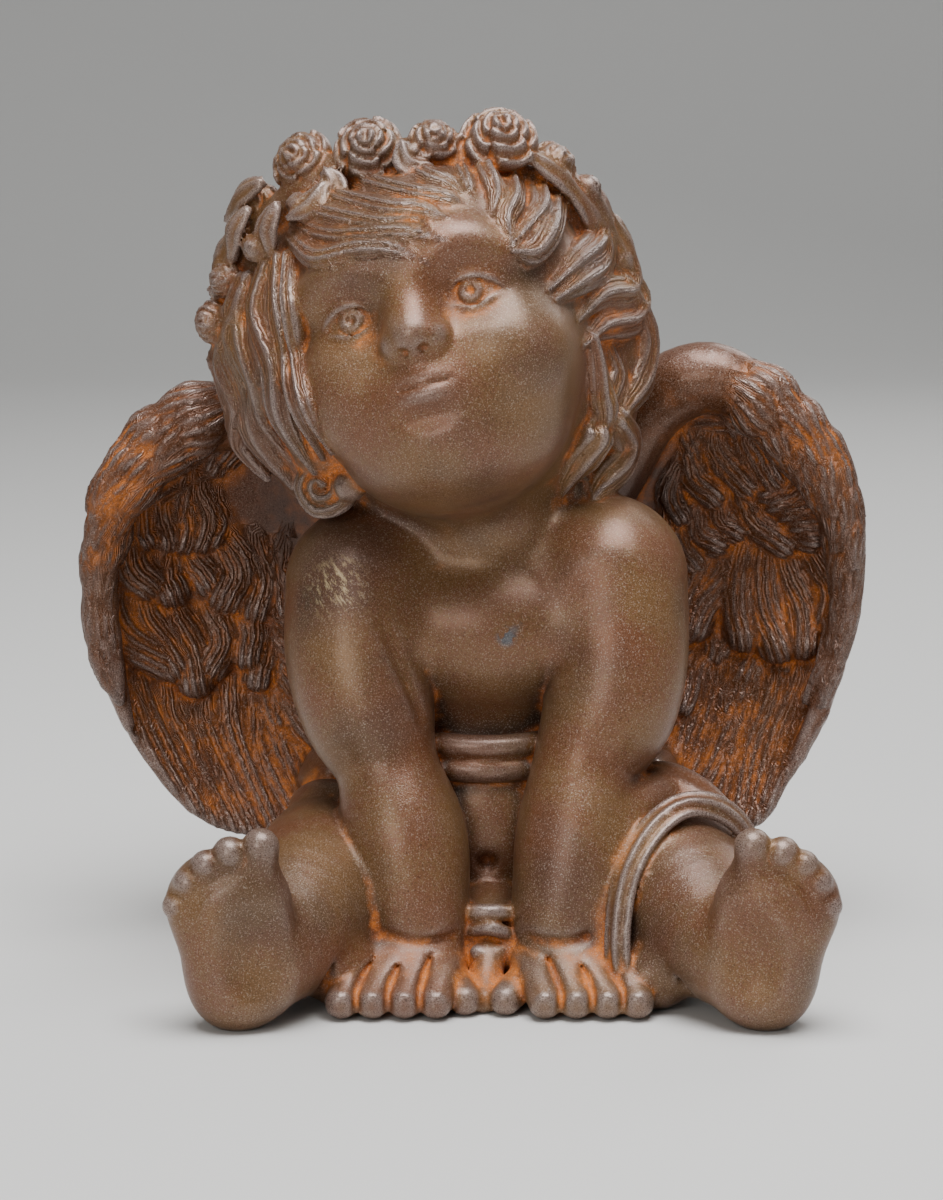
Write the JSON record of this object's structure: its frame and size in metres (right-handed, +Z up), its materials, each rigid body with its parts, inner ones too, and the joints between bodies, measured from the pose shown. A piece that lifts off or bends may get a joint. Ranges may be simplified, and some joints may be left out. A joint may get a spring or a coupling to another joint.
{
  "type": "cherub garden sculpture",
  "caption": "Seated winged cherub with a wreath of roses, cast in iron, for a garden or a shelf.",
  "frame": {"origin": "on the ground, under the middle of the figure's bounding box", "axes": "+Z up, the figure faces -Y, and its own left side is at +X"},
  "size_m": [0.2379, 0.1636, 0.2614],
  "materials": {
    "rusted_iron": "rusted brown iron with orange rust in the hollows and a dull sheen on what stands out"
  },
  "bodies": {
    "root": {"cherub": "rusted_iron"}
  },
  "joints": []
}
